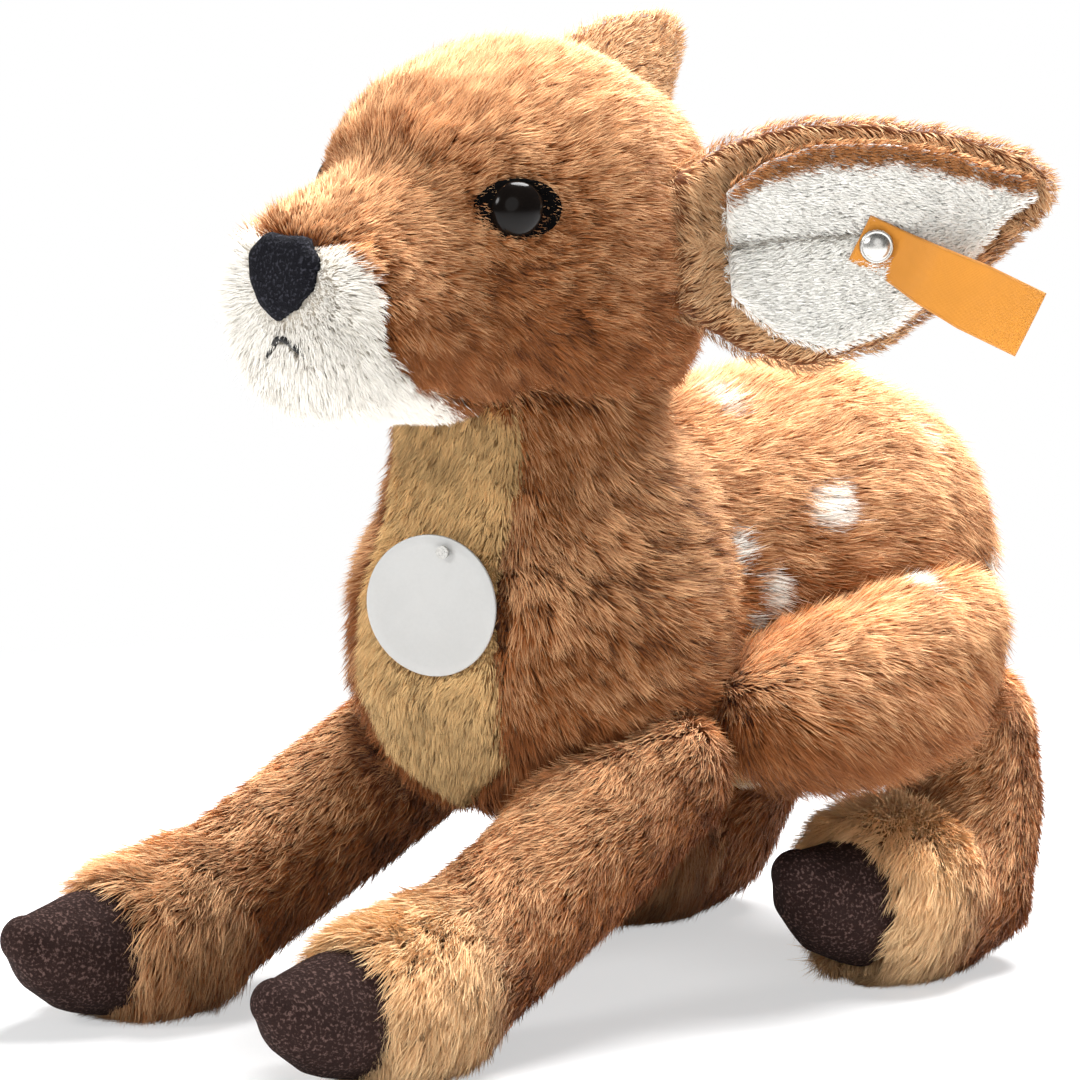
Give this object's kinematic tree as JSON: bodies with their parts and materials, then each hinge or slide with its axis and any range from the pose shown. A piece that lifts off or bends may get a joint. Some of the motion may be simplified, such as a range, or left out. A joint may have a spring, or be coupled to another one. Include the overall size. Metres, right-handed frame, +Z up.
{
  "type": "plush fawn",
  "caption": "Stuffed plush fawn lying with its front legs stretched forward, with a turning head, swinging ears, legs and tail, an ear button with a blank label and a blank chest tag.",
  "frame": {"origin": "middle of the toy's bounding box, on the surface that it lies on", "axes": "+Z up, the fawn faces -Y, +X towards its left side"},
  "size_m": [0.167, 0.2752, 0.2285],
  "materials": {
    "brown_plush": "long-pile plush, fawn brown",
    "cream_plush": "short cream plush",
    "white_plush": "short white plush",
    "ear_lining": "short off-white plush",
    "stuffing": "polyester stuffing",
    "nose_velour": "black velour",
    "thread": "black embroidery thread",
    "eye_felt": "black felt",
    "eye": "polished black",
    "washer": "white moulded",
    "hoof_velour": "dark brown velour",
    "nickel": "nickel plated, plain",
    "label": "plain woven ribbon, yellow-orange",
    "card": "plain coated card, pale grey"
  },
  "bodies": {
    "torso": {"torso_cover": "brown_plush", "chest_bib": "cream_plush", "belly_panel": "cream_plush", "torso_filling": "stuffing", "thigh_left_cover": "brown_plush", "thigh_left_filling": "stuffing", "thigh_right_cover": "brown_plush", "thigh_right_filling": "stuffing", "tag_pin": "nickel"},
    "head": {"head_cover": "brown_plush", "muzzle_cover": "white_plush", "head_filling": "stuffing", "eye_left": "eye", "eye_patch_left": "eye_felt", "eye_washer_left": "washer", "eye_right": "eye", "eye_patch_right": "eye_felt", "eye_washer_right": "washer", "nose": "nose_velour", "mouth_stitch": "thread"},
    "ear_left": {"ear_left_back": "brown_plush", "ear_left_lining": "ear_lining", "ear_button": "nickel", "ear_button_washer": "nickel"},
    "ear_right": {"ear_right_back": "brown_plush", "ear_right_lining": "ear_lining"},
    "ear_label": {"ear_label": "label"},
    "chest_tag": {"chest_tag": "card"},
    "front_leg_left": {"front_leg_left_cover": "brown_plush", "front_leg_left_filling": "stuffing", "front_leg_left_hoof": "hoof_velour"},
    "front_leg_right": {"front_leg_right_cover": "brown_plush", "front_leg_right_filling": "stuffing", "front_leg_right_hoof": "hoof_velour"},
    "hind_leg_left": {"hind_leg_left_cover": "brown_plush", "hind_leg_left_filling": "stuffing", "hind_leg_left_hoof": "hoof_velour"},
    "hind_leg_right": {"hind_leg_right_cover": "brown_plush", "hind_leg_right_filling": "stuffing", "hind_leg_right_hoof": "hoof_velour"},
    "tail": {"tail": "brown_plush"}
  },
  "joints": [
    {"name": "head_turn", "type": "hinge", "parent": "torso", "child": "head", "pos_m": [-0.019, -0.01472, 0], "axis": [0, 0, 1], "range_deg": [-30, 30], "stiffness_Nm_per_rad": 0.25},
    {"name": "ear_left_swing", "type": "hinge", "parent": "head", "child": "ear_left", "pos_m": [0.02017, -0.00199, 0.1835], "axis": [0.0343, 0.0395, -0.9986], "range_deg": [-8, 20], "stiffness_Nm_per_rad": 0.03},
    {"name": "ear_right_swing", "type": "hinge", "parent": "head", "child": "ear_right", "pos_m": [-0.05539, 0.00383, 0.1835], "axis": [0.0732, -0.3172, 0.9455], "range_deg": [-8, 20], "stiffness_Nm_per_rad": 0.03},
    {"name": "label_swivel", "type": "hinge", "parent": "ear_left", "child": "ear_label", "pos_m": [0.04925, 0.03381, 0.18291], "axis": [0.7547, -0.6561, 0], "range_deg": [-12, 12]},
    {"name": "tag_swing", "type": "hinge", "parent": "torso", "child": "chest_tag", "pos_m": [-0.00568, -0.05224, 0.11315], "axis": [0.39, -0.9205, 0.0237], "range_deg": [-15, 15]},
    {"name": "front_leg_left_swing", "type": "hinge", "parent": "torso", "child": "front_leg_left", "pos_m": [0.019, -0.00672, 0.06], "axis": [0, 0, 1], "range_deg": [-5, 20], "stiffness_Nm_per_rad": 0.2},
    {"name": "front_leg_right_swing", "type": "hinge", "parent": "torso", "child": "front_leg_right", "pos_m": [-0.057, -0.00672, 0.06], "axis": [0, 0, -1], "range_deg": [-5, 20], "stiffness_Nm_per_rad": 0.2},
    {"name": "hind_leg_left_swing", "type": "hinge", "parent": "torso", "child": "hind_leg_left", "pos_m": [0.016, 0.09428, 0.058], "axis": [0, 0, 1], "range_deg": [-4, 14], "stiffness_Nm_per_rad": 0.2},
    {"name": "hind_leg_right_swing", "type": "hinge", "parent": "torso", "child": "hind_leg_right", "pos_m": [-0.054, 0.09428, 0.058], "axis": [0, 0, -1], "range_deg": [-4, 14], "stiffness_Nm_per_rad": 0.2},
    {"name": "tail_wag", "type": "hinge", "parent": "torso", "child": "tail", "pos_m": [-0.019, 0.11866, 0.107], "axis": [0, 0, 1], "range_deg": [-20, 20], "stiffness_Nm_per_rad": 0.01}
  ]
}
